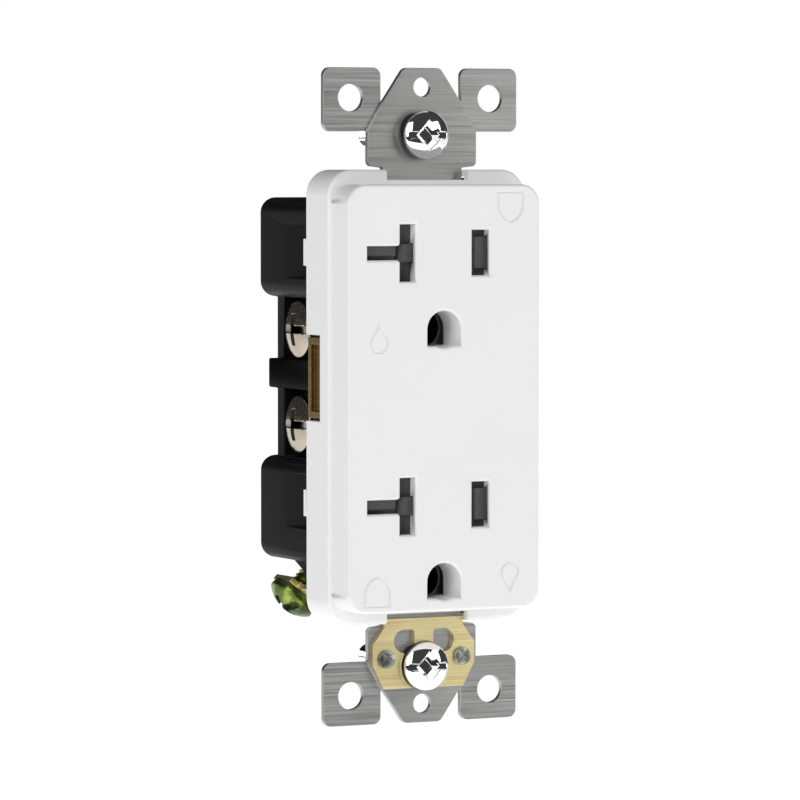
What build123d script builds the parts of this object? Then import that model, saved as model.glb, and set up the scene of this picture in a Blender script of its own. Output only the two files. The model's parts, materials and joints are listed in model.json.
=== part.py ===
from build123d import *
import os
from math import sqrt

# Decorator duplex receptacle, 20 A 125 V, with shutters behind its slots.
# Millimetres. +X is right and +Z is up as seen from the room, and +Y points into the wall.
# The origin is on the rear face of the mounting strap, midway between the two wall-plate screws.

os.makedirs("parts", exist_ok=True)

# ---------------------------------------------------------------- driving dimensions
# face cover
face_w = 33.3
face_h = 66.4
face_corner_r = 3.0
face_edge_r = 0.5
face_front = -8.9
face_wall = 1.5
front_wall = 2.1
flange_w = 34.4
flange_h = 71.0
flange_corner_r = 4.0
flange_edge_r = 0.6
flange_wall = 1.1
shoulder_y = -2.9
shoulder_wall = 1.4
flange_back = 5.2
neck_notch_z = 33.9
neck_notch_half_w = 7.1
cutout_z = (-3.7, 9.75)
cutout_front = 0.3
icon_depth = 0.15
icon_line = 0.32
drop_r = 1.6
drop_tip_ratio = 2.0
shield_half_w = 2.3

# outlets
outlet_mid = 2.95
outlet_pitch = 39.3
slot_x = 6.35
hot_slot_w = 3.05
hot_slot_h = 7.1
t_bar_w = 2.7
t_bar_h = 8.9
t_leg_end = 13.3
t_leg_h = 2.2
t_corner_r = 0.5
slot_chamfer = 0.3
ground_drop = 11.9
ground_r = 2.9
ground_flat = 2.6
collar_wall = 1.2
collar_back = -2.6

# mounting strap
strap_t = 1.0
ear_offset = 0.5
strap_half_h = 51.4
ear_x = (7.0, 16.9)
ear_bottom = 41.45
ear_corner_r = 1.3
ear_hole_r = 2.15
ear_hole_spacing = (24.4, 93.4)
tip_half_w = 3.2
notch_z = 45.85
shoulder_half_w = 9.5
shoulder_z = 36.1
shoulder_r = 0.8
neck_half_w = 6.9
neck_step = 0.3
spine_half_w = 4.5
spine_z = 32.0
wallplate_spacing = 96.8
wallplate_hole_r = 1.5
box_spacing = 83.3
box_slot_len = 7.6
box_slot_w = 5.2
screw_drop = 0.75
pin_hole_r = 2.95

# grounding plate, rivets and ground terminal
ground_plate_t = 0.7
ground_plate_half_w = (6.85, 6.85, 8.85, 8.85, 6.9)
ground_plate_z = (-34.8, -36.1, -38.8, -42.1, -45.8)
screw_opening_r = 3.95
lobe_r = 1.85
lobe_at = (3.45, -38.4)
lobe_inner_x = 1.65
lobe_top = -36.6
lobe_corner_r = 0.45
rivet_x = 6.6
rivet_z = -41.1
rivet_head_r = 1.45
rivet_head_h = 0.55
rivet_shank_r = 0.9
dimple_r = (0.2, 0.75)
dimple_depth = 0.5
ground_screw_head = (-15.0, 16.2, -33.0)
ground_head_r = 4.0
ground_head_h = 2.9
ground_shank_len = 5.0
ground_tab_t = 1.0
ground_tab_half_w = 3.4
ground_tab_len = 6.4
ground_leg_half_w = 1.9
ground_foot = ((-4.2, -33.9), (-12.6, -33.9), (-15.2, -31.3), (-13.4, -29.5), (-10.9, -31.0), (-4.2, -31.0))

# back body
slab_half_w = 15.8
slab_half_h = 34.2
block_half_w = 16.3
block_back = 26.0
upper_block_z = (15.3, 31.1)
lower_block_z = (-26.5, -10.1)
block_edge_r = 2.4
core_half_w = 14.5
core_back = 22.5
core_edge_r = 1.2
rear_wall = 3.3
rib_z = (0.75, 5.4)
rib_half_w = 14.6
rib_back = 25.6
skirt_half_w = 13.6
post_x = (13.4, 14.6)
post_half_h = 4.0
skirt_yz = ((17.8, -26.5), (12.0, -29.0), (12.0, -32.6))
latch_pocket_h = 8.6
latch_pocket_depth = 1.2
latch_pocket_y = (10.5, 15.0)
latch_tab_h = 4.2
latch_tab_out = 1.3
latch_hook = 0.8
wire_hole_r = 1.2
wire_hole_x = 12.1
wire_hole_dz = 3.0

# terminals
terminal_z = (10.25, -4.8)
terminal_y = 14.2
plate_t = 0.9
plate_x = 10.3
plate_y = (6.4, 18.9)
well_clearance = 0.5
sheet_t = 0.9
clamp_gap = 1.0
clamp_t = 1.1
clamp_size = (7.6, 8.0)
link_x = (15.0, 15.9)
link_y = (2.6, 7.3)
link_z = (-3.4, 9.3)
link_leg_h = 2.3
link_rim = 1.1
link_recess = 0.6
terminal_head_r = 4.5
terminal_head_h = 2.2
terminal_shank_r = 2.085
terminal_shank_len = 5.3

# line and ground contacts
contact_h = 6.4
contact_back = 12.9
leaf_t = 0.6
leaf_gaps = ((1.45, 12.9), (1.45, 6.5), (0.62, 4.2), (1.35, 1.8))
t_leaf_x = (8.7, 12.7)
pin_leaf_gaps = ((3.1, 0.0), (3.1, 2.0), (2.15, 7.0), (2.8, 10.0))
pin_leaf_h = 4.6
pin_flange = (7.6, 6.8)
pin_chamber_back = 11.0

# shutters
tray_x = (-14.6, 14.4)
tray_z = (-6.4, 7.4)
tray_floor = -4.3
tray_back = -2.15
slide_x = (-7.85, 8.0)
slide_half_h = 5.0
slide_bar_w = (2.95, 3.25)
slide_rail_h = 1.1
slide_travel = 2.9
gate_x = (-13.45, -7.95)
gate_half_h = 1.4
gate_travel = 2.6
gate_ramp = 1.0
rib_rise = 0.95
hot_rib_half_h = 2.45
spring_r = 0.8
spring_wire = 0.25
spring_turns = 5
spring_len = 5.4

# mounting screws and washers
box_head_r = 3.8
box_head_h = 2.2
box_shank_r = 1.75
box_shank_len = 21.6
box_neck_r = 1.45
washer_half_w = 4.6
washer_t = 0.8
washer_gap = 3.0
screw_stand_off = 0.9
washer_free = 0.4

# fits
running = 0.05
slip = 0.1
loose = 0.2

# ---------------------------------------------------------------- derived places
face_inner = face_front + front_wall
outlet_z = {"upper": outlet_mid + outlet_pitch / 2, "lower": outlet_mid - outlet_pitch / 2}
ground_plate_front = -strap_t - ground_plate_t
screw_z = {"top": box_spacing / 2 - screw_drop, "bottom": -box_spacing / 2 - screw_drop}
block_zs = (upper_block_z, lower_block_z)
well_zs = ((rib_z[1], upper_block_z[0]), (lower_block_z[1], rib_z[0]))
plate_outer = plate_x + plate_t
clamp_x = plate_outer + clamp_gap
head_base_x = clamp_x + clamp_t
inner_half_w = flange_w / 2 - flange_wall
diagonal = 1 / sqrt(2)


# ---------------------------------------------------------------- helpers
def block(x, y, z):
    """A box between two limits on each axis."""
    size = Box(abs(x[1] - x[0]), abs(y[1] - y[0]), abs(z[1] - z[0]))
    return Pos((x[0] + x[1]) / 2, (y[0] + y[1]) / 2, (z[0] + z[1]) / 2) * size


def plate(outline, y_front, y_back):
    """An outline drawn in X and Z, as thick as from y_front to y_back."""
    return extrude(Plane.XZ.offset(-y_back) * outline, amount=y_back - y_front)


def area(x, z):
    """A flat rectangle between two limits in X and in Z."""
    return Pos((x[0] + x[1]) / 2, (z[0] + z[1]) / 2) * Rectangle(abs(x[1] - x[0]), abs(z[1] - z[0]))


def polygon(*points):
    return make_face(Polyline(*points, close=True))


def both_sides(shape):
    """The shape and its mirror image across the middle plane X = 0."""
    return shape + mirror(shape, about=Plane.YZ)


def grow(x, amount):
    return (min(x) - amount, max(x) + amount)


def shift(z, offset):
    return (z[0] + offset, z[1] + offset)


def save(shape, node):
    solids = shape.solids()
    whole = solids[0] if len(solids) == 1 else Compound(children=list(solids))
    export_step(whole, f"parts/{node}.step")


# ---------------------------------------------------------------- outlet outlines
def t_slot(extra=0.0):
    """The neutral opening: an upright bar with a leg that points away from the middle."""
    bar = Pos(-slot_x, 0) * Rectangle(t_bar_w + 2 * extra, t_bar_h + 2 * extra)
    leg = area((-t_leg_end - extra, -slot_x), (-t_leg_h / 2 - extra, t_leg_h / 2 + extra))
    outline = bar + leg
    side = -slot_x - t_bar_w / 2 - extra
    inner = [v for v in outline.vertices() if abs(v.X - side) < 1e-3 and abs(v.Y) < t_bar_h / 4]
    return fillet(inner, t_corner_r)


def hot_slot(extra=0.0):
    return Pos(slot_x, 0) * Rectangle(hot_slot_w + 2 * extra, hot_slot_h + 2 * extra)


def ground_opening(extra=0.0):
    """A round-topped opening with a flat bottom, centred on the round part."""
    r = ground_r + extra
    return Circle(r) + area((-r, r), (-ground_flat - extra, 0))


# ---------------------------------------------------------------- face cover
def drop(r):
    """A solid drop: a circle with two tangent lines that meet above it."""
    tip = drop_tip_ratio * r
    side_x = r * sqrt(1 - 1 / drop_tip_ratio ** 2)
    side_z = r / drop_tip_ratio
    return Circle(r) + polygon((0, tip), (side_x, side_z), (0, 0), (-side_x, side_z))


def drop_icon():
    return Pos(0, -0.7) * (drop(drop_r) - drop(drop_r - icon_line))


def shield(half_w):
    """A solid shield: a flat top, straight sides and a pointed bottom of two arcs."""
    corner = (half_w, -0.1 * half_w)
    belly = (0.68 * half_w, -0.75 * half_w)
    point = (0, -1.2 * half_w)
    outline = [
        Line((-half_w, 0.95 * half_w), (half_w, 0.95 * half_w)), Line((half_w, 0.95 * half_w), corner),
        ThreePointArc(corner, belly, point), ThreePointArc(point, (-belly[0], belly[1]), (-corner[0], corner[1])),
        Line((-corner[0], corner[1]), (-half_w, 0.95 * half_w))]
    return make_face(outline)


def shield_icon():
    return shield(shield_half_w) - shield(shield_half_w - icon_line)


def face_icons():
    """The four engraved marks: shields at two corners and drops beside the outlets."""
    marks = Pos(11.6, 30.0) * shield_icon()
    marks += Pos(-11.7, -30.0) * Rot(0, 0, 180) * shield_icon()
    marks += Pos(-11.3, 9.4) * drop_icon()
    marks += Pos(11.4, -28.1) * Rot(0, 0, 180) * drop_icon()
    return marks


def rib_channels():
    """Where the shutters' raised ribs travel behind the front wall, about one slot line."""
    bar_x = (slide_x[0] - slip, slide_x[0] + slide_bar_w[0] + slide_travel + slip)
    hot_x = (slide_x[1] - slide_bar_w[1] - slip, slide_x[1] + slide_travel + slip)
    outline = area(bar_x, grow((-gate_half_h, gate_half_h), slip))
    outline += area(hot_x, grow((-hot_rib_half_h, hot_rib_half_h), slip))
    return outline + area(grow(gate_x, slip), (-gate_half_h - slip, gate_half_h + gate_travel + slip))


def latch_tab(z):
    """A tab behind the side wall, with a hook that catches behind the body's front slab."""
    outer = inner_half_w + flange_wall - slip
    tip_y = flange_back + latch_tab_out
    hook_y = flange_back + slip
    section = polygon(
        (outer, flange_back - flange_wall), (outer, tip_y), (inner_half_w, tip_y),
        (inner_half_w - latch_hook, hook_y + latch_hook / 2), (inner_half_w - latch_hook, hook_y),
        (inner_half_w, hook_y), (inner_half_w, flange_back - flange_wall))
    return Pos(0, 0, z - latch_tab_h / 2) * extrude(section, amount=latch_tab_h)


def make_face_cover():
    rise = plate(RectangleRounded(face_w, face_h, face_corner_r), face_front, shoulder_y)
    rise = fillet(rise.faces().sort_by(Axis.Y)[0].edges(), face_edge_r)
    flange = plate(RectangleRounded(flange_w, flange_h, flange_corner_r), shoulder_y, flange_back)
    flange = fillet(flange.faces().sort_by(Axis.Y)[0].edges(), flange_edge_r)
    cover = rise + flange
    hollow_r = face_corner_r - face_wall
    hollow = RectangleRounded(face_w - 2 * face_wall, face_h - 2 * face_wall, hollow_r)
    cover -= plate(hollow, face_inner, flange_back)
    skirt_r = flange_corner_r - flange_wall
    skirt = RectangleRounded(2 * inner_half_w, flange_h - 2 * flange_wall, skirt_r)
    cover -= plate(skirt, shoulder_y + shoulder_wall, flange_back)
    for z in outlet_z.values():
        collar = Pos(0, z - ground_drop) * ground_opening(collar_wall)
        cover += plate(collar, face_inner, collar_back)
    for z in outlet_z.values():
        at = Pos(0, z)
        ground_at = Pos(0, z - ground_drop)
        cover -= plate(at * (t_slot() + hot_slot()), face_front, face_inner)
        cover -= plate(ground_at * ground_opening(), face_front, collar_back)
        cover -= plate(at * rib_channels(), face_inner - rib_rise - slip / 2, face_inner)
    mouths = cover.faces().sort_by(Axis.Y)[0].inner_wires()
    cover = chamfer([edge for wire in mouths for edge in wire.edges()], slot_chamfer)
    side_x = (inner_half_w - flange_wall, flange_w / 2 + 1)
    cover -= both_sides(block(side_x, (cutout_front, flange_back + 1), cutout_z))
    neck_x = grow((-neck_half_w, neck_half_w), slip)
    notch_x = (-neck_notch_half_w, neck_notch_half_w)
    for side in (1, -1):
        wall_z = (side * (face_h / 2 - face_wall - slip), side * (flange_h / 2 + 1))
        cover -= block(neck_x, (-strap_t - slip, flange_back), wall_z)
        cover -= block(notch_x, (shoulder_y - 1, -strap_t), (side * neck_notch_z, wall_z[1]))
    for z in outlet_z.values():
        cover += both_sides(latch_tab(z))
    return cover - plate(face_icons(), face_front, face_front + icon_depth)


# ---------------------------------------------------------------- back body
def body_block(z):
    shape = block((-block_half_w, block_half_w), (flange_back, block_back), z)
    return fillet(shape.faces().sort_by(Axis.Y)[-1].edges() + shape.edges().filter_by(Axis.Y), block_edge_r)


def latch_pocket(z):
    floor = block_half_w - latch_pocket_depth
    section = polygon(
        (floor, flange_back), (floor, latch_pocket_y[0]),
        (block_half_w + 0.01, latch_pocket_y[1]), (block_half_w + 2, flange_back))
    return Pos(0, 0, z - latch_pocket_h / 2) * extrude(section, amount=latch_pocket_h)


def terminal_space():
    """What the terminal strip of the +X side needs, open to the front for assembly."""
    chamber_x = (slot_x - leaf_gaps[0][0] - leaf_t - loose, t_leaf_x[1] + leaf_t + loose)
    channel_x = (plate_x - slip, plate_outer + slip)
    channel_z = (outlet_z["lower"] - contact_h / 2 - loose, outlet_z["upper"] + contact_h / 2 + loose)
    space = block(channel_x, (0, plate_y[1] + slip), channel_z)
    for z in outlet_z.values():
        half = t_bar_h / 2
        space += block(chamber_x, (0, contact_back + loose), (z - half, z + half))
    for z in terminal_z:
        shank = Cylinder(terminal_shank_r + loose, plate_x - 6.0)
        space += Pos((plate_x + 6.0) / 2, terminal_y, z) * Rot(0, 90, 0) * shank
    for z in link_leg_zs():
        space += block((plate_x, block_half_w), (0, link_y[1] + slip), grow(z, slip))
    fin_x = (link_x[0] - slip, block_half_w)
    return space + block(fin_x, (0, flange_back), grow(link_z, slip))


def link_leg_zs():
    return ((link_z[1] - link_leg_h, link_z[1]), (link_z[0], link_z[0] + link_leg_h))


def terminal_wells():
    """The two wells of the +X side, open at the side, with wire holes in their rear wall."""
    wells = None
    for low, high in well_zs:
        well_y = (flange_back, core_back - rear_wall)
        well = block((plate_outer + slip, block_half_w + 1), well_y, (low, high))
        wells = well if wells is None else wells + well
    for z in terminal_z:
        for dz in (-wire_hole_dz, wire_hole_dz):
            hole = Cylinder(wire_hole_r, 2 * rear_wall)
            at = Pos(wire_hole_x, core_back - rear_wall / 2, z + dz)
            wells += at * Rot(90, 0, 0) * hole
    return wells


def ground_leg_outline(half_w, thickness):
    """The ground terminal's section in X and Z, which leans at 45 degrees across the corner."""
    x, _, z = ground_tab_base()
    at = Pos(x, z) * Rot(0, 0, -45) * Pos(0, thickness / 2)
    return at * Rectangle(2 * half_w, thickness)


def ground_tab_base():
    """Where the ground screw's head sits on its tab."""
    half = ground_head_h / 2 * diagonal
    x, y, z = ground_screw_head
    return (x + half, y, z + half)


def ground_foot_outline():
    """The flat foot that runs from the corner of the body to behind the strap."""
    return polygon(*ground_foot)


def make_back_body():
    slab_r = flange_corner_r - flange_wall
    body = plate(RectangleRounded(2 * slab_half_w, 2 * slab_half_h, slab_r), 0, flange_back)
    body += block((-neck_half_w, neck_half_w), (0, flange_back - slip), (-flange_h / 2 + slip, flange_h / 2 - slip))
    core_z = (lower_block_z[1] - 1, upper_block_z[0] + 1)
    core = block((-core_half_w, core_half_w), (flange_back, core_back), core_z)
    core = fillet(core.faces().sort_by(Axis.Y)[-1].edges().filter_by(Axis.Z), core_edge_r)
    body += core
    for z in block_zs:
        body += body_block(z)
    (y_top, z_top), (y_step, z_step), (_, z_low) = skirt_yz
    section = Plane.YZ * polygon(
        (flange_back, z_top), (y_top, z_top), (y_step, z_step), (y_step, z_low), (flange_back, z_low))
    body += Pos(-skirt_half_w, 0, 0) * extrude(section, amount=2 * skirt_half_w)
    body -= both_sides(terminal_wells())
    rib = block((-rib_half_w, rib_half_w), (flange_back, rib_back), rib_z)
    body += fillet(rib.faces().sort_by(Axis.Y)[-1].edges(), core_edge_r)
    body -= both_sides(terminal_space())
    for z in outlet_z.values():
        body -= both_sides(latch_pocket(z))
        ground_z = z - ground_drop
        half = (pin_flange[0] / 2 + loose, pin_flange[1] / 2 + loose)
        chamber = block((-half[0], half[0]), (0, pin_chamber_back), (ground_z - half[1], ground_z + half[1]))
        body -= chamber
        body += both_sides(block(post_x, (tray_back + slip, 0), grow((z, z), post_half_h)))
    body -= plate(offset(ground_foot_outline(), slip), 0, ground_tab_t + slip)
    tab_mid = ground_screw_head[1]
    body -= plate(ground_leg_outline(ground_leg_half_w + slip, ground_tab_t + 2 * slip), 0, tab_mid)
    shank = Cylinder(terminal_shank_r + loose, 12)
    body -= ground_screw_plane() * shank
    tab_y = grow((tab_mid, tab_mid), ground_tab_len / 2 + loose)
    body -= plate(ground_leg_outline(ground_tab_half_w + loose, ground_tab_t + 2 * loose), *tab_y)
    return body


# ---------------------------------------------------------------- strap and ground path
def strap_centre_outline():
    half = [
        (0, strap_half_h), (tip_half_w, strap_half_h), (ear_x[0], notch_z),
        (shoulder_half_w, ear_bottom), (shoulder_half_w, shoulder_z), (neck_half_w, shoulder_z - neck_step),
        (neck_half_w, spine_z + 1.8), (spine_half_w, spine_z), (spine_half_w, 0)]
    right = half + [(x, -z) for x, z in reversed(half[:-1])]
    left = [(-x, z) for x, z in reversed(right[1:-1])]
    return polygon(*right, *left)


def rounded_corners(outline, x, z, radius):
    """The outline with the corners at (+-x, +-z) rounded."""
    near = [v for v in outline.vertices() if abs(abs(v.X) - x) < 1e-3 and abs(abs(v.Y) - z) < 1e-3]
    return fillet(near, radius)


def ear_outlines():
    ear_w = ear_x[1] - ear_x[0]
    ear_h = strap_half_h - ear_bottom
    ear = Pos(sum(ear_x) / 2, ear_bottom + ear_h / 2) * RectangleRounded(ear_w, ear_h, ear_corner_r)
    ear -= polygon((ear_x[0], notch_z), (shoulder_half_w, ear_bottom), (ear_x[0], ear_bottom))
    ear -= Pos(ear_hole_spacing[0] / 2, ear_hole_spacing[1] / 2) * Circle(ear_hole_r)
    pair = ear + mirror(ear, about=Plane.YZ)
    return pair + mirror(pair, about=Plane.XZ)


def make_mounting_strap():
    outline = strap_centre_outline()
    outline = rounded_corners(outline, shoulder_half_w, shoulder_z, shoulder_r)
    outline = rounded_corners(outline, neck_half_w, shoulder_z - neck_step, neck_step)
    outline = rounded_corners(outline, tip_half_w, strap_half_h, ear_corner_r)
    for side in (1, -1):
        outline -= Pos(0, side * wallplate_spacing / 2) * Circle(wallplate_hole_r)
        outline -= Pos(0, side * box_spacing / 2) * SlotOverall(box_slot_len, box_slot_w)
    for z in outlet_z.values():
        outline -= Pos(0, z - ground_drop) * Circle(pin_hole_r)
    for side in (1, -1):
        outline -= Pos(side * rivet_x, rivet_z) * Circle(rivet_shank_r + slip)
    strap = plate(outline, -strap_t, 0)
    return strap + plate(ear_outlines(), ear_offset - strap_t, ear_offset)


def make_grounding_plate():
    """The brass plate riveted on the lower end of the strap, open about the box screw."""
    right = list(zip(ground_plate_half_w, ground_plate_z))
    left = [(-x, z) for x, z in reversed(right)]
    outline = polygon(*right, *left)
    lobe = area((lobe_inner_x, lobe_at[0]), (lobe_at[1] - 2 * lobe_r, lobe_top))
    lobe = fillet(lobe.vertices().sort_by(Axis.Y)[-2:].sort_by(Axis.X)[0], lobe_corner_r)
    lobe += Pos(*lobe_at) * Circle(lobe_r)
    opening = Pos(0, screw_z["bottom"]) * Circle(screw_opening_r)
    opening += lobe + mirror(lobe, about=Plane.YZ)
    outline -= opening
    for side in (1, -1):
        outline -= Pos(side * rivet_x, rivet_z) * Circle(rivet_shank_r + slip)
    return plate(outline, ground_plate_front, -strap_t)


def make_strap_rivets():
    rivets = None
    for side in (-1, 1):
        at = Pos(side * rivet_x, 0, rivet_z) * Rot(90, 0, 0)
        shank_len = strap_t + ground_plate_t
        shank = Pos(0, 0, shank_len / 2) * Cylinder(rivet_shank_r, shank_len)
        head = Pos(0, 0, shank_len + rivet_head_h / 2) * Cylinder(rivet_head_r, rivet_head_h)
        head = chamfer(head.edges().sort_by(Axis.Z)[-1], rivet_head_h / 2)
        dimple = Pos(0, 0, shank_len + rivet_head_h) * Cone(dimple_r[0], dimple_r[1], dimple_depth)
        foot = Pos(0, 0, -rivet_head_h / 2) * Cylinder(rivet_head_r, rivet_head_h)
        rivet = at * (shank + head + foot - dimple)
        rivets = rivet if rivets is None else Compound(children=[rivets, rivet])
    return rivets


def make_ground_terminal():
    """Foot behind the strap, a leg back along the corner of the body, and the screw's tab."""
    x, y, z = ground_tab_base()
    foot = plate(ground_foot_outline(), 0, ground_tab_t)
    leg = plate(ground_leg_outline(ground_leg_half_w, ground_tab_t), 0, y)
    tab = plate(ground_leg_outline(ground_tab_half_w, ground_tab_t), y - ground_tab_len / 2, y + ground_tab_len / 2)
    terminal = foot + leg + tab
    return terminal - ground_screw_plane() * Cylinder(terminal_shank_r + running, 12)


def make_ground_contact(z):
    """A spring clip behind the strap, with two leaves that grip a round ground pin."""
    at = Pos(0, 0, z)
    flange = at * block((-pin_flange[0] / 2, pin_flange[0] / 2), (0, leaf_t), (-pin_flange[1] / 2, pin_flange[1] / 2))
    clip = flange + at * leaf_pair(pin_leaf_gaps, pin_leaf_h)
    return clip - plate(Pos(0, z) * Circle(pin_hole_r + slip), -leaf_t, leaf_t)


def leaf_pair(gaps, width):
    """Two facing leaves about X = 0, whose half gap and depth are given point by point."""
    inner = [(gap, y) for gap, y in gaps]
    outer = [(gap + leaf_t, y) for gap, y in reversed(gaps)]
    leaf = extrude(polygon(*inner, *outer), amount=width / 2, both=True)
    return leaf + mirror(leaf, about=Plane.YZ)


# ---------------------------------------------------------------- terminal strips
def make_terminal_strip(side):
    """Contacts, terminal plates and the break-off link of one side, in one bent sheet."""
    base_x = (slot_x - leaf_gaps[0][0] - leaf_t, plate_outer)
    strip = None
    for name, z_term, (low, high) in zip(("upper", "lower"), terminal_z, well_zs):
        z_slot = outlet_z[name]
        plate_z = grow((low, high), -well_clearance)
        reach = (min(plate_z[0], z_slot - contact_h / 2), max(plate_z[1], z_slot + contact_h / 2))
        part = block((plate_x, plate_outer), plate_y, plate_z)
        part += block((plate_x, plate_outer), (contact_back - sheet_t, plate_y[1]), reach)
        part += block(base_x, (contact_back - sheet_t, contact_back), (z_slot - contact_h / 2, z_slot + contact_h / 2))
        part += Pos(slot_x, 0, z_slot) * leaf_pair(leaf_gaps, contact_h)
        if side < 0:
            part += block((plate_x, t_leaf_x[1]), (contact_back - sheet_t, contact_back), (z_slot - 2, z_slot + 2))
            leaves = leaf_pair(leaf_gaps, t_leaf_x[1] - t_leaf_x[0])
            part += Pos(sum(t_leaf_x) / 2, 0, z_slot) * Rot(0, 90, 0) * leaves
        hole = Cylinder(terminal_shank_r + running, 4)
        part -= Pos(plate_x, terminal_y, z_term) * Rot(0, 90, 0) * hole
        strip = part if strip is None else strip + part
    for z in link_leg_zs():
        strip += block((plate_x, link_x[1]), (link_y[1] - sheet_t, link_y[1]), z)
    strip += block(link_x, link_y, link_z)
    strip -= block(
        (link_x[1] - link_recess, link_x[1]), (link_y[0], link_y[1] - link_rim), grow(link_z, -link_rim))
    return strip if side > 0 else mirror(strip, about=Plane.YZ)


def make_clamp(side, z):
    """The pressure plate under a terminal screw, which grips the wires behind it."""
    dy = clamp_size[1] / 2
    dz = clamp_size[0] / 2
    shape = block((clamp_x, head_base_x), (terminal_y - dy, terminal_y + dy), (z - dz, z + dz))
    shape = fillet(shape.edges().filter_by(Axis.X), 0.8)
    hole = Cylinder(terminal_shank_r + running, 6)
    shape -= Pos(clamp_x, terminal_y, z) * Rot(0, 90, 0) * hole
    return shape if side > 0 else mirror(shape, about=Plane.YZ)


# ---------------------------------------------------------------- screws
def make_screw(head_r, head_h, shank_r, shank_len):
    """A screw along Z with its head's seat at Z = 0 and its head above."""
    rim_h = head_h / 2
    rise = head_h - rim_h
    dome_r = (head_r ** 2 + rise ** 2) / (2 * rise)
    head = Pos(0, 0, head_h / 2) * Cylinder(head_r, head_h)
    head &= Pos(0, 0, head_h - dome_r) * Sphere(dome_r)
    slot = Pos(0, 0, head_h) * Box(2 * head_r, 1.1, 2 * rim_h * 0.8)
    cross = Pos(0, 0, head_h) * Box(1.1, head_r * 1.05, 2 * rim_h)
    shank = Pos(0, 0, -shank_len / 2) * Cylinder(shank_r, shank_len)
    shank = chamfer(shank.edges().sort_by(Axis.Z)[0], shank_r / 4)
    return head + shank - slot - cross


def make_terminal_screw(side, z):
    screw = make_screw(terminal_head_r, terminal_head_h, terminal_shank_r, terminal_shank_len)
    seat = Plane(origin=(side * head_base_x, terminal_y, z), x_dir=(0, 1, 0), z_dir=(side, 0, 0))
    return seat * screw


def ground_screw_plane():
    return Plane(origin=ground_tab_base(), x_dir=(0, 1, 0), z_dir=(-diagonal, 0, -diagonal))


def make_ground_screw():
    screw = make_screw(ground_head_r, ground_head_h, terminal_shank_r, ground_shank_len)
    return ground_screw_plane() * screw


def make_mounting_screw(z):
    """The neck under the head is thinner than the thread, which keeps the washer on it."""
    screw = make_screw(box_head_r, box_head_h, box_shank_r, box_shank_len)
    neck_len = strap_t + washer_gap + washer_t + washer_free
    ring = Cylinder(box_shank_r + 1, neck_len) - Cylinder(box_neck_r, neck_len)
    screw -= Pos(0, 0, -neck_len / 2) * ring
    return Plane(origin=(0, -strap_t - screw_stand_off, z), x_dir=(1, 0, 0), z_dir=(0, -1, 0)) * screw


def make_washer(z):
    outline = RectangleRounded(2 * washer_half_w, 2 * washer_half_w, 1.0) - Circle(box_neck_r + running)
    front = washer_gap - screw_stand_off
    return plate(Pos(0, z) * outline, front, front + washer_t)


# ---------------------------------------------------------------- shutters
def make_shutter_tray(z):
    """A tray behind the front wall: it guides the slide, the gate and their springs."""
    tray = plate(area(tray_x, shift(tray_z, z)), face_inner + slip / 2, tray_back)
    slide_space = area((slide_x[0] - slip, slide_x[1] + slide_travel + slip), (-slide_half_h - slip, slide_half_h + slip))
    gate_space = area((gate_x[0] - slip, slide_x[0]), (-gate_half_h - slip, gate_half_h + gate_travel + slip))
    springs = area((slide_x[1], slide_x[1] + spring_len + slip), grow((-spring_r, spring_r), loose))
    gate_mid = sum(gate_x) / 2
    springs += area(grow((gate_mid - spring_r, gate_mid + spring_r), loose), (0, gate_half_h + spring_len + slip))
    tray -= plate(Pos(0, z) * (slide_space + gate_space + springs), face_inner, tray_floor)
    return tray - plate(Pos(0, z) * (t_slot(slip) + hot_slot(slip)), tray_floor, tray_back)


def make_shutter_slide(z):
    """A frame whose two bars close the slots, each with a ramp that a blade pushes aside."""
    front = face_inner + slip
    back = tray_floor - slip
    outline = area(slide_x, (-slide_half_h, slide_half_h))
    window_x = (slide_x[0] + slide_bar_w[0], slide_x[1] - slide_bar_w[1])
    outline -= area(window_x, grow((-slide_half_h, slide_half_h), -slide_rail_h))
    slide = plate(Pos(0, z) * outline, front, back)
    bars = (
        (slide_x[0], window_x[0], gate_half_h, t_bar_h / 2),
        (window_x[1], slide_x[1], hot_rib_half_h, hot_slot_h / 2))
    for x, right, rib_half_h, slot_half_h in bars:
        rib = block((x, right), (front - rib_rise, front), (z - rib_half_h, z + rib_half_h))
        slide += rib
        ramp = polygon((x - 0.01, front - rib_rise), (x + 1.1, front - rib_rise), (x - 0.01, front + 0.3))
        slide -= Pos(0, 0, z - slot_half_h) * extrude(ramp, amount=2 * slot_half_h)
    return slide


def make_slot_gate(z):
    """The gate that closes the T-slot's leg and lifts when a sideways blade pushes its ramp."""
    front = face_inner + slip - rib_rise
    back = tray_floor - slip
    gate = block(gate_x, (front, back), (z - gate_half_h, z + gate_half_h))
    leading = gate.edges().filter_by(Axis.X).group_by(Axis.Y)[0].sort_by(Axis.Z)[0]
    return chamfer(leading, gate_ramp)


def make_coil(start, direction):
    """A compression spring from its start point, along a direction."""
    height = spring_len - 2 * spring_wire
    path = Helix(pitch=height / spring_turns, height=height, radius=spring_r - spring_wire / 2)
    coil = sweep(Plane(origin=path @ 0, z_dir=path % 0) * Circle(spring_wire / 2), path=path, is_frenet=True)
    frame = Plane(origin=start, z_dir=direction)
    return frame * Pos(0, 0, spring_wire) * coil


def spring_depth():
    return (face_inner + tray_floor) / 2


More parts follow.
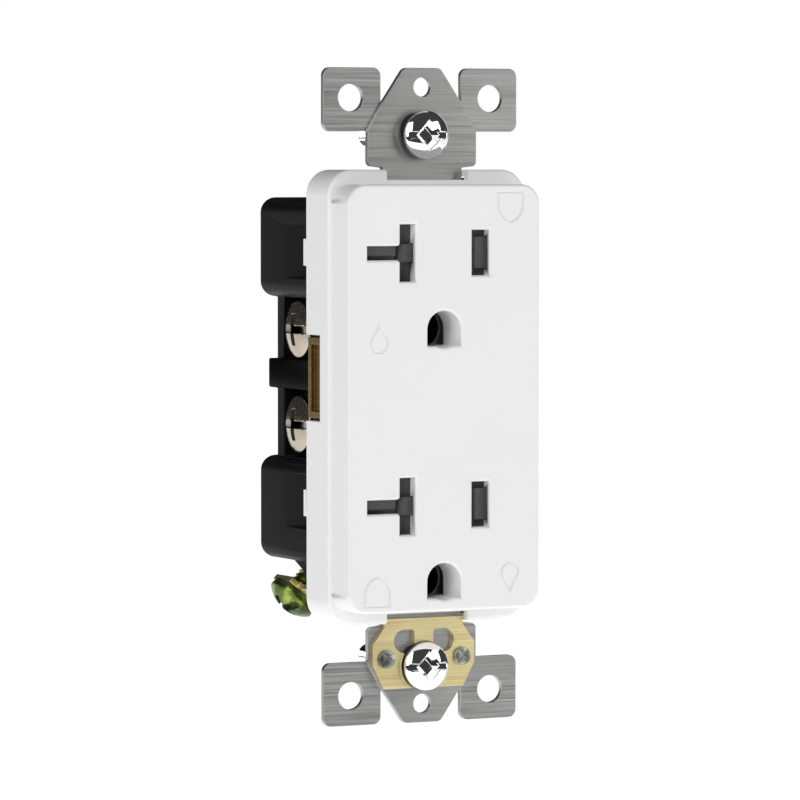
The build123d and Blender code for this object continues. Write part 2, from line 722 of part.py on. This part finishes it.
# ---------------------------------------------------------------- nodes
def main():
    save(make_face_cover(), "face_cover")
    save(make_back_body(), "back_body")
    save(make_mounting_strap(), "mounting_strap")
    save(make_grounding_plate(), "grounding_plate")
    save(make_strap_rivets(), "strap_rivets")
    save(make_ground_terminal(), "ground_terminal")
    save(make_ground_screw(), "ground_screw")
    for side, name in ((-1, "neutral"), (1, "hot")):
        save(make_terminal_strip(side), f"{name}_strip")
        for level, z in zip(("upper", "lower"), terminal_z):
            save(make_terminal_screw(side, z), f"{name}_screw_{level}")
            save(make_clamp(side, z), f"{name}_clamp_{level}")
    for level, z in outlet_z.items():
        save(make_ground_contact(z - ground_drop), f"ground_contact_{level}")
        save(make_shutter_tray(z), f"shutter_tray_{level}")
        save(make_shutter_slide(z), f"shutter_slide_{level}")
        save(make_slot_gate(z), f"slot_gate_{level}")
        slide_start = (slide_x[1] + slip / 2, spring_depth(), z)
        save(make_coil(slide_start, (1, 0, 0)), f"slide_spring_{level}")
        gate_start = (sum(gate_x) / 2, spring_depth(), z + gate_half_h + slip / 2)
        save(make_coil(gate_start, (0, 0, 1)), f"gate_spring_{level}")
    for level, z in screw_z.items():
        save(make_mounting_screw(z), f"mounting_screw_{level}")
        save(make_washer(z), f"retaining_washer_{level}")


main()
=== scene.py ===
import json
from math import pi, radians, sqrt

import bmesh
import bpy
from mathutils import Matrix, Vector


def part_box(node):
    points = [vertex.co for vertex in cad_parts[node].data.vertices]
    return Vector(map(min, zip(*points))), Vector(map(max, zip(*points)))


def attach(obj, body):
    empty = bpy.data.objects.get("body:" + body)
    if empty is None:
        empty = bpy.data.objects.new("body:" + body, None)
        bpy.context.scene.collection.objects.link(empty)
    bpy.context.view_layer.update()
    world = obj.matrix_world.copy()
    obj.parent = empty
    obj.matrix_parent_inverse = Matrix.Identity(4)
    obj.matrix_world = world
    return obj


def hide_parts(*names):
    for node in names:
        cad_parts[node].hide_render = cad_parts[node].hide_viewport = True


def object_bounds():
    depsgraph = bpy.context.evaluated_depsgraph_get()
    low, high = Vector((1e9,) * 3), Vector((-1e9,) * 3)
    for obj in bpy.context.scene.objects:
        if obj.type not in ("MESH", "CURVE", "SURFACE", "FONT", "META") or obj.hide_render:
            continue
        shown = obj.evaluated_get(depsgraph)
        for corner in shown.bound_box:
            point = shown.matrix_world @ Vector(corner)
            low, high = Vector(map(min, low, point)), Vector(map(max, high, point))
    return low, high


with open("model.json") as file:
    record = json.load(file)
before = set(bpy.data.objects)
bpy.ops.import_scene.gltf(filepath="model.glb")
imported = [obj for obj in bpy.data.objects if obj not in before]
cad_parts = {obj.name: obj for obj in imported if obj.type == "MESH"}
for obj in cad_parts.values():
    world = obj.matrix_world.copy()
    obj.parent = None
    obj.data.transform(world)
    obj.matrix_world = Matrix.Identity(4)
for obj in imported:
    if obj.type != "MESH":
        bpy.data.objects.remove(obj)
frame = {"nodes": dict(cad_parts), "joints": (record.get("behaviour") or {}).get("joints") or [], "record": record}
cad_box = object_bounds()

MM = 0.001
scene = bpy.context.scene
record = frame["record"]
nodes = frame["nodes"]
joints = {joint["name"]: joint for joint in frame["joints"]}
body_of = {node: body for body, members in record["behaviour"]["bodies"].items() for node in members}
slot_of = {part["node"]: part["material_slot"] for part in record["subparts"]}

# ---------------------------------------------------------------- sizes of the looks
EASE_STEEL = 0.10 * MM        # rounding of a stamped edge
EASE_BRASS = 0.08 * MM
EASE_BODY = 0.22 * MM         # rounding of a moulded edge
EASE_COVER = 0.10 * MM
EASE_SHUTTER = 0.04 * MM
THREAD_PITCH = 0.79375 * MM
THREAD_DEPTH = 0.38 * MM
THREAD_STEPS = 20
TURN_STEPS = 72
FLOOR_DROP = 0.30             # the pale floor lies this far under the strap's lower end
FLOOR_REACH = 0.85            # and comes this far into the room


# ---------------------------------------------------------------- shader maths
class Wire:
    """An output of a shader node. Sums, differences and products of wires add Math nodes."""

    def __init__(self, tree, output):
        self.tree = tree
        self.output = output

    def node(self, kind, settings, sockets, output=0):
        """A new node: its settings are set first, then the values or links of its sockets."""
        made = self.tree.nodes.new(kind)
        for key, value in settings.items():
            if key == "stops":
                set_stops(made.color_ramp, value)
            else:
                setattr(made, key, value)
        for key, value in sockets.items():
            if isinstance(value, Wire):
                self.tree.links.new(value.output, made.inputs[key])
            else:
                made.inputs[key].default_value = value
        return Wire(self.tree, made.outputs[output])

    def math(self, operation, first, second):
        return self.node("ShaderNodeMath", {"operation": operation}, {0: first, 1: second})

    def __add__(self, other):
        return self.math("ADD", self, other)

    __radd__ = __add__

    def __sub__(self, other):
        return self.math("SUBTRACT", self, other)

    def __rsub__(self, other):
        return self.math("SUBTRACT", other, self)

    def __mul__(self, other):
        return self.math("MULTIPLY", self, other)

    __rmul__ = __mul__

    def __pow__(self, other):
        return self.math("POWER", self, other)


def set_stops(ramp, stops):
    """The stops of a colour ramp, as pairs of a place and a grey value."""
    while len(ramp.elements) < len(stops):
        ramp.elements.new(1.0)
    for element, (place, grey) in zip(ramp.elements, stops):
        element.position = place
        element.color = (grey, grey, grey, 1)


class Finish:
    """A material with one Principled shader, patterned on Object coordinates."""

    def __init__(self, name, constants):
        self.material = bpy.data.materials.new(name)
        self.material.use_nodes = True
        tree = self.material.node_tree
        self.shader = tree.nodes["Principled BSDF"]
        for key, value in constants.items():
            self.shader.inputs[key].default_value = value
        coordinates = tree.nodes.new("ShaderNodeTexCoord")
        self.place = Wire(tree, coordinates.outputs["Object"])

    def noise(self, scale, detail=2.0, stretch=(1, 1, 1), roughness=0.5):
        """Noise whose grains are about 1 / scale metres across, finer along a stretched axis."""
        spot = self.place.node("ShaderNodeMapping", {}, {"Vector": self.place, "Scale": stretch})
        sockets = {"Vector": spot, "Scale": scale, "Detail": detail, "Roughness": roughness}
        return self.place.node("ShaderNodeTexNoise", {}, sockets)

    def steps(self, value, *stops):
        """A value remapped through pairs of place and grey."""
        return self.place.node("ShaderNodeValToRGB", {"stops": stops}, {"Fac": value})

    def blend(self, share, first, second):
        """A colour between two others."""
        sides = [side if isinstance(side, Wire) else (*side, 1) for side in (first, second)]
        settings = {"data_type": "RGBA"}
        return self.place.node("ShaderNodeMix", settings, {0: share, 6: sides[0], 7: sides[1]}, output=2)

    def relief(self, height, strength, distance):
        """Raised and sunken detail, with its depth in metres."""
        sockets = {"Height": height, "Strength": strength, "Distance": distance}
        self.feed("Normal", self.place.node("ShaderNodeBump", {}, sockets))

    def feed(self, socket, wire):
        self.place.tree.links.new(wire.output, self.shader.inputs[socket])


# ---------------------------------------------------------------- finishes
def moulded_white():
    """White satin nylon with a faint moulded grain."""
    finish = Finish("moulded_white", {"IOR": 1.5})
    cloud = finish.noise(70, detail=3)
    finish.feed("Base Color", finish.blend(cloud, (0.81, 0.81, 0.81), (0.85, 0.85, 0.845)))
    finish.feed("Roughness", 0.34 + 0.1 * finish.noise(400, detail=3))
    finish.relief(finish.noise(3200, detail=3), 0.18, 0.00002)
    return finish.material


def moulded_black():
    """Black glass-filled plastic: a fine eroded texture with a few scuffs."""
    finish = Finish("moulded_black", {"IOR": 1.45, "Specular IOR Level": 0.15})
    grain = finish.noise(2600, detail=4)
    scuff = finish.steps(finish.noise(160, detail=5, roughness=0.65), (0.55, 0.0), (0.75, 1.0))
    finish.feed("Base Color", finish.blend(scuff, (0.0028, 0.0028, 0.003), (0.0065, 0.0065, 0.007)))
    finish.feed("Roughness", 0.42 + 0.2 * grain + 0.08 * scuff)
    finish.relief(grain, 0.35, 0.00003)
    return finish.material


def moulded_grey():
    """Dark grey shutter plastic with a fine grain and an uneven shine."""
    finish = Finish("moulded_grey", {"IOR": 1.48})
    grain = finish.noise(2200, detail=3)
    finish.feed("Base Color", finish.blend(grain, (0.050, 0.050, 0.052), (0.085, 0.085, 0.087)))
    finish.feed("Roughness", 0.3 + 0.2 * finish.noise(300))
    finish.relief(grain, 0.2, 0.00002)
    return finish.material


def brushed(name, dark, light, rough, along, line=7000.0):
    """Sheet metal brushed along one axis: long fine lines, a slow cloud and uneven shine."""
    finish = Finish(name, {"Metallic": 1.0})
    stretch = [line] * 3
    stretch[along] = line / 160
    lines = finish.noise(1.0, detail=4, stretch=stretch, roughness=0.6)
    sharp = finish.steps(lines, (0.36, 0.0), (0.66, 1.0))
    cloud = finish.noise(110, detail=2)
    finish.feed("Base Color", finish.blend(sharp * 0.8 + cloud * 0.2, dark, light))
    finish.feed("Roughness", rough + 0.16 * sharp + 0.06 * cloud)
    finish.relief(lines, 0.3, 0.000012)
    return finish.material


def plated(name, dark, light, rough, mark=500):
    """Polished plating with faint handling marks and a slightly uneven shine."""
    finish = Finish(name, {"Metallic": 1.0})
    cloud = finish.noise(mark, detail=3)
    scratch = finish.noise(1.0, detail=3, stretch=(mark * 14, mark * 2, mark * 4))
    finish.feed("Base Color", finish.blend(cloud, dark, light))
    finish.feed("Roughness", rough + rough * 0.8 * finish.steps(scratch, (0.5, 0.0), (0.72, 1.0)))
    finish.relief(cloud, 0.08, 0.00002)
    return finish.material


def mottled(name, colours, rough, grain):
    """Chemically coated steel: patches of three tones over a fine grain."""
    finish = Finish(name, {"Metallic": 0.85})
    patch = finish.noise(420, detail=4, roughness=0.6)
    low, mid, high = colours
    tone = finish.blend(finish.steps(patch, (0.35, 0.0), (0.55, 1.0)), low, mid)
    tone = finish.blend(finish.steps(patch, (0.52, 0.0), (0.68, 1.0)), tone, high)
    finish.feed("Base Color", tone)
    finish.feed("Roughness", rough + 0.18 * finish.noise(900, detail=3))
    finish.relief(finish.noise(grain, detail=3), 0.2, 0.00002)
    return finish.material


def pressed_fibre():
    """Grey vulcanised fibre with short matted strands."""
    finish = Finish("pressed_fibre", {})
    strand = finish.noise(1.0, detail=4, stretch=(900, 2600, 5200), roughness=0.7)
    finish.feed("Base Color", finish.blend(strand, (0.055, 0.045, 0.038), (0.17, 0.15, 0.13)))
    finish.feed("Roughness", 0.7 + 0.2 * strand)
    finish.relief(strand, 0.5, 0.00005)
    return finish.material


finishes = {
    "white_plastic": moulded_white(),
    "black_plastic": moulded_black(),
    "dark_plastic": moulded_grey(),
    "stainless_steel": brushed("brushed_stainless", (0.33, 0.33, 0.325), (0.53, 0.53, 0.525), 0.28, 0),
    "strip_brass": brushed("brushed_brass", (0.80, 0.66, 0.31), (0.95, 0.84, 0.49), 0.30, 0),
    # painted shade: the contact brass colours are several times darker than brass, standing in for the shade where it
    # sits inside the outlet
    "contact_brass": brushed("brass_darkened_as_shade", (0.13, 0.08, 0.025), (0.30, 0.19, 0.065), 0.24, 1),
    "spring_steel": brushed("drawn_wire", (0.30, 0.30, 0.30), (0.55, 0.55, 0.56), 0.22, 0),
    "nickel_steel": plated("warm_nickel", (0.38, 0.33, 0.265), (0.56, 0.50, 0.42), 0.20),
    "brass_screw": plated("bright_brass", (0.60, 0.42, 0.15), (0.82, 0.62, 0.28), 0.18),
    "chrome_steel": plated("bright_chrome", (0.78, 0.78, 0.79), (0.90, 0.90, 0.91), 0.05),
    "zinc_steel": mottled("dull_zinc", ((0.10, 0.11, 0.09), (0.26, 0.28, 0.24), (0.48, 0.50, 0.45)), 0.26, 3000),
    "green_steel": mottled("green_passivated", ((0.03, 0.05, 0.012), (0.12, 0.18, 0.035), (0.34, 0.40, 0.09)), 0.22, 2400),
    "grey_fibre": pressed_fibre(),
}

for name, node in nodes.items():
    node.material_slots[0].material = finishes[slot_of[name]]


# ---------------------------------------------------------------- mesh helpers
def add_piece(name, bm, material):
    mesh = bpy.data.meshes.new(name)
    bm.to_mesh(mesh)
    bm.free()
    piece = bpy.data.objects.new(name, mesh)
    scene.collection.objects.link(piece)
    if material is not None:
        mesh.materials.append(material)
    return piece


def turned(outline):
    """A closed solid of revolution about Z, from points of radius and height."""
    bm = bmesh.new()
    points = [bm.verts.new((radius, 0, height)) for radius, height in outline]
    lines = [bm.edges.new(pair) for pair in zip(points, points[1:])]
    bmesh.ops.spin(bm, geom=points + lines, cent=(0, 0, 0), axis=(0, 0, 1), dvec=(0, 0, 0),
                   angle=2 * pi, steps=TURN_STEPS, use_merge=True, use_duplicate=False)
    bmesh.ops.remove_doubles(bm, verts=bm.verts, dist=MM / 1000)
    bmesh.ops.recalc_face_normals(bm, faces=bm.faces)
    return bm


def cutting_box(size, centre, turn=0.0):
    """A box to cut with, turned about its X axis."""
    bm = bmesh.new()
    bmesh.ops.create_cube(bm, size=1.0)
    bmesh.ops.scale(bm, vec=size, verts=bm.verts)
    bmesh.ops.rotate(bm, cent=(0, 0, 0), matrix=Matrix.Rotation(turn, 3, "X"), verts=bm.verts)
    bmesh.ops.translate(bm, vec=centre, verts=bm.verts)
    return bm


def cutting_pyramid(reach, depth, top):
    """A four-sided pyramid to cut with, its corners on the X and Y axes, cut off at the top."""
    bm = bmesh.new()
    flat = 0.42
    bmesh.ops.create_cone(bm, cap_ends=True, cap_tris=False, segments=4, radius1=reach * flat, radius2=reach, depth=depth)
    bmesh.ops.translate(bm, vec=(0, 0, top - depth / 2), verts=bm.verts)
    return bm


def carve(bm, cutters):
    """The shape with each cutter's solid taken out of it."""
    piece = add_piece("blank", bm, None)
    tools = [add_piece("cutter", cutter, None) for cutter in cutters]
    for tool in tools:
        cut = piece.modifiers.new("cut", "BOOLEAN")
        cut.operation = "DIFFERENCE"
        cut.solver = "EXACT"
        cut.object = tool
    bpy.context.view_layer.update()
    graph = bpy.context.evaluated_depsgraph_get()
    mesh = bpy.data.meshes.new_from_object(piece.evaluated_get(graph))
    carved = bmesh.new()
    carved.from_mesh(mesh)
    for used in (piece, *tools):
        bpy.data.objects.remove(used)
    bmesh.ops.remove_doubles(carved, verts=carved.verts, dist=MM / 1000)
    return carved


def ease(bm, width, least=30.0, segments=2, chosen=None):
    """Rounds every edge that turns by more than the least angle, or those of them that are chosen."""
    sharp = [edge for edge in bm.edges if edge.is_manifold and edge.calc_face_angle() > radians(least)]
    if chosen is not None:
        sharp = [edge for edge in sharp if all(chosen(vert.co) for vert in edge.verts)]
    bmesh.ops.bevel(bm, geom=sharp, offset=width, offset_type="OFFSET", segments=segments, profile=0.5,
                    affect="EDGES", clamp_overlap=False, material=-1)


def shade(piece):
    """Smooth shading that keeps wide flat faces flat."""
    piece.data.shade_smooth()
    piece.data.set_sharp_from_angle(angle=radians(40))
    weighted = piece.modifiers.new("flat_faces", "WEIGHTED_NORMAL")
    weighted.keep_sharp = True
    weighted.weight = 90


def install(piece, node):
    """Puts a finished piece in a node's stead, on its body."""
    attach(piece, body_of[node])
    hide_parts(node)


def eased_copy(node, name, width, chosen=None):
    """A CAD node's shape with its sharp edges rounded."""
    bm = bmesh.new()
    bm.from_mesh(nodes[node].data)
    bmesh.ops.remove_doubles(bm, verts=bm.verts, dist=MM / 1000)
    bmesh.ops.dissolve_limit(bm, angle_limit=radians(0.6), use_dissolve_boundaries=False,
                             verts=bm.verts, edges=bm.edges, delimit={"NORMAL"})
    ease(bm, width, chosen=chosen)
    piece = add_piece(name, bm, finishes[slot_of[node]])
    shade(piece)
    install(piece, node)


cover_low, cover_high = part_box("face_cover")


def outside_of_cover(place):
    """Whether a point of the cover is on its front or on its outer sides."""
    beside = abs(place.x) > cover_high.x - 0.3 * MM or abs(place.z) > cover_high.z - 0.3 * MM
    return beside or place.y < cover_low.y + 0.9 * MM


def behind_cover(place):
    """Whether a point of the body is in the open, behind the cover's latch tabs."""
    return place.y > cover_high.y


# ---------------------------------------------------------------- stamped and moulded pieces
eased_copy("mounting_strap", "stamped_strap", EASE_STEEL)
eased_copy("grounding_plate", "stamped_brass_plate", EASE_BRASS)
eased_copy("ground_terminal", "stamped_ground_tab", EASE_BRASS)
eased_copy("back_body", "moulded_body", EASE_BODY, chosen=behind_cover)
eased_copy("face_cover", "moulded_cover", EASE_COVER, chosen=outside_of_cover)
for side in ("neutral", "hot"):
    eased_copy(f"{side}_strip", f"stamped_{side}_strip", EASE_BRASS)
    for level in ("upper", "lower"):
        eased_copy(f"{side}_clamp_{level}", f"{side}_pressure_plate_{level}", EASE_STEEL)
for level in ("upper", "lower"):
    eased_copy(f"slot_gate_{level}", f"{level}_leg_gate", EASE_SHUTTER)
    eased_copy(f"shutter_slide_{level}", f"{level}_moulded_slide", EASE_SHUTTER)


# ---------------------------------------------------------------- screws
def head_outline(radius, height, rim):
    """The head from its seat to its crown: a rim, a rounded shoulder and a dome."""
    rise = height - rim
    dome = (radius ** 2 + rise ** 2) / (2 * rise)
    points = [(radius * 0.96, 0.0), (radius, 0.05 * height), (radius, rim)]
    count = 12
    for step in range(1, count + 1):
        reach = radius * (1 - step / count)
        points.append((reach, height - dome + sqrt(dome ** 2 - reach ** 2)))
    return points


def wind_thread(bm, crest, start, end):
    """A ridge wound round the screw's core, from one height up to another."""
    root = crest - THREAD_DEPTH
    flat = THREAD_PITCH / 16
    heights = (0, THREAD_PITCH / 2 - flat, THREAD_PITCH / 2 + flat, THREAD_PITCH)
    points = [bm.verts.new((r, 0, start + h)) for r, h in zip((root, crest, crest, root), heights)]
    lines = [bm.edges.new(pair) for pair in zip(points, points[1:])]
    steps = int((end - start - THREAD_PITCH) / THREAD_PITCH * THREAD_STEPS)
    made = bmesh.ops.spin(bm, geom=points + lines, cent=(0, 0, 0), axis=(0, 0, 1),
                          dvec=(0, 0, THREAD_PITCH / THREAD_STEPS), angle=2 * pi * steps / THREAD_STEPS,
                          steps=steps, use_merge=False, use_duplicate=False)
    return made


def make_screw(name, node, joint, head, rim, shank, neck, length, cutters, seat_shift=0.0):
    """A screw with its head's seat at the joint's point and its head along the joint's axis."""
    radius, height = head
    core = shank - THREAD_DEPTH * 0.95
    plain_r, plain_len = neck
    tip = 0.5 * MM
    outline = [(0, -length), (core - tip, -length), (core, -length + tip), (core, -plain_len), (plain_r, -plain_len),
               (plain_r, 0)]
    outline += head_outline(radius, height, rim)
    bm = carve(turned(outline), cutters)
    ease(bm, 0.09 * MM, least=38, segments=2)
    ridge = bmesh.new()
    wind_thread(ridge, shank, -length + tip, -plain_len)
    bmesh.ops.remove_doubles(ridge, verts=ridge.verts, dist=MM / 1000)
    bmesh.ops.holes_fill(ridge, edges=ridge.edges, sides=0)
    bmesh.ops.recalc_face_normals(ridge, faces=ridge.faces)
    ridge_mesh = bpy.data.meshes.new("ridge")
    ridge.to_mesh(ridge_mesh)
    ridge.free()
    bm.from_mesh(ridge_mesh)
    axis = Vector(joint["axis"]).normalized()
    slot_way = Vector((1, 0, 0)) if abs(axis.y) > 0.5 else Vector((0, 1, 0))
    across = axis.cross(slot_way)
    turn = Matrix((slot_way, across, axis)).transposed().to_4x4()
    seat = Vector(joint["pos_m"]) + axis * seat_shift
    bmesh.ops.transform(bm, matrix=Matrix.Translation(seat) @ turn, verts=bm.verts)
    piece = add_piece(name, bm, finishes[slot_of[node]])
    shade(piece)
    install(piece, node)


def slotted(radius, height, width, depth):
    return cutting_box((2.4 * radius, width, 2 * depth), (0, 0, height))


BOX_HEAD = (3.8 * MM, 2.2 * MM)
TERMINAL_HEAD = (4.5 * MM, 2.2 * MM)
GROUND_HEAD = (4.0 * MM, 2.9 * MM)
SCREW_REACH = 0.0216

for level in ("top", "bottom"):
    node = f"mounting_screw_{level}"
    cutters = [
        slotted(*BOX_HEAD, 1.0 * MM, 0.95 * MM),
        cutting_pyramid(2.7 * MM, 2.3 * MM, BOX_HEAD[1] + 0.15 * MM)]
    make_screw(f"box_{level}_screw", node, joints[f"{node}_turn"], BOX_HEAD, 0.8 * MM, 1.75 * MM,
               (1.45 * MM, 5.2 * MM), SCREW_REACH, cutters)

for side in ("neutral", "hot"):
    for level in ("upper", "lower"):
        node = f"{side}_screw_{level}"
        cutters = [
            slotted(*TERMINAL_HEAD, 1.15 * MM, 1.0 * MM),
            cutting_box((1.2 * MM, 5.0 * MM, 2.6 * MM), (0, 0, TERMINAL_HEAD[1]))]
        make_screw(f"{side}_{level}_binding_screw", node, joints[f"{node}_turn"], TERMINAL_HEAD, 1.1 * MM,
                   2.085 * MM, (1.7 * MM, 1.2 * MM), 5.3 * MM, cutters)

cutters = [
    slotted(*GROUND_HEAD, 1.3 * MM, 1.3 * MM),
    cutting_box((1.2 * MM, 4.6 * MM, 2.6 * MM), (0, 0, GROUND_HEAD[1]))]
make_screw("green_ground_screw", "ground_screw", joints["ground_screw_turn"], GROUND_HEAD, 1.2 * MM,
           2.085 * MM, (1.7 * MM, 1.1 * MM), 5.0 * MM, cutters, seat_shift=-GROUND_HEAD[1] / 2)


# ---------------------------------------------------------------- rivets
def make_rivets():
    """Two rivets whose front ends are peened with four creases."""
    low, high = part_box("strap_rivets")
    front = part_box("grounding_plate")[0].y
    radius = (high.z - low.z) / 2
    proud = front - low.y
    both = bmesh.new()
    for x in (low.x + radius, high.x - radius):
        length = high.y - front
        shank = 0.62 * radius
        outline = [(0, -length), (radius, -length), (radius, -length + proud), (shank, -length + proud), (shank, 0),
                   (radius, 0), (radius, 0.45 * proud), (0.9 * radius, 0.85 * proud), (0.5 * radius, proud), (0, proud)]
        creases = []
        for turn in (pi / 4, 3 * pi / 4):
            crease = cutting_box((1.7 * radius, 0.3 * MM, 0.3 * MM), (0, 0, proud), turn=pi / 4)
            bmesh.ops.rotate(crease, cent=(0, 0, 0), matrix=Matrix.Rotation(turn, 3, "Z"), verts=crease.verts)
            creases.append(crease)
        bm = carve(turned(outline), creases)
        ease(bm, 0.05 * MM)
        place = Matrix.Translation((x, front, (low.z + high.z) / 2)) @ Matrix.Rotation(pi / 2, 4, "X")
        bmesh.ops.transform(bm, matrix=place, verts=bm.verts)
        mesh = bpy.data.meshes.new("rivet")
        bm.to_mesh(mesh)
        bm.free()
        both.from_mesh(mesh)
    piece = add_piece("peened_rivets", both, finishes["zinc_steel"])
    shade(piece)
    install(piece, "strap_rivets")


make_rivets()


# ---------------------------------------------------------------- camera
def add_camera():
    """A long lens a little left of and above the outlet, aimed at its middle."""
    aim = Vector((-3.2 * MM, 0.4 * MM, -0.6 * MM))
    yaw = radians(26.35)
    pitch = radians(2.655)
    distance = 0.783
    camera = bpy.data.objects.new("camera", bpy.data.cameras.new("camera"))
    camera.data.sensor_width = 36.0
    camera.data.lens = 224.6
    camera.rotation_euler = (pi / 2 - pitch, 0, -yaw)
    back = Matrix.Rotation(-yaw, 3, "Z") @ Matrix.Rotation(-pitch, 3, "X") @ Vector((0, -1, 0))
    camera.location = aim + back * distance
    scene.collection.objects.link(camera)
    scene.camera = camera


# ---------------------------------------------------------------- studio
def add_softbox(name, place, size, power, aim=(0, 0, 0)):
    light = bpy.data.lights.new(name, "AREA")
    light.shape = "RECTANGLE"
    light.size, light.size_y = size
    light.energy = power
    lamp = bpy.data.objects.new(name, light)
    lamp.location = place
    lamp.rotation_euler = (Vector(aim) - Vector(place)).to_track_quat("-Z", "Y").to_euler()
    scene.collection.objects.link(lamp)


def add_floor():
    """A plain pale floor, wide enough to reach past the view."""
    bm = bmesh.new()
    bmesh.ops.create_grid(bm, x_segments=1, y_segments=1, size=6.0)
    bmesh.ops.translate(bm, vec=(0, 6.0 - FLOOR_REACH, cad_box[0].z - FLOOR_DROP), verts=bm.verts)
    paint = bpy.data.materials.new("pale_floor")
    paint.use_nodes = True
    shader = paint.node_tree.nodes["Principled BSDF"]
    shader.inputs["Base Color"].default_value = (0.9, 0.9, 0.9, 1)
    shader.inputs["Roughness"].default_value = 0.9
    shader.inputs["Emission Color"].default_value = (1, 1, 1, 1)
    shader.inputs["Emission Strength"].default_value = 1.0
    floor = add_piece("floor", bm, paint)


def add_room():
    """A dim grey room for reflections, behind a white background."""
    world = bpy.data.worlds.new("room")
    scene.world = world
    world.use_nodes = True
    tree = world.node_tree
    shader = tree.nodes["Background"]
    seen = Wire(tree, tree.nodes.new("ShaderNodeLightPath").outputs["Is Camera Ray"])
    settings = {"data_type": "RGBA"}
    shade_of_room = seen.node("ShaderNodeMix", settings, {0: seen, 6: (0.05, 0.05, 0.051, 1), 7: (1, 1, 1, 1)}, output=2)
    tree.links.new(shade_of_room.output, shader.inputs["Color"])


add_camera()
add_softbox("left_softbox", (-0.70, -0.60, 0.35), (0.5, 0.8), 5.3)
add_softbox("right_softbox", (0.85, -0.72, 0.26), (0.6, 0.9), 5.2)
add_softbox("top_softbox", (0.0, 0.10, 0.9), (0.9, 0.6), 1.0)
add_floor()
add_room()
scene.view_settings.view_transform = "Standard"
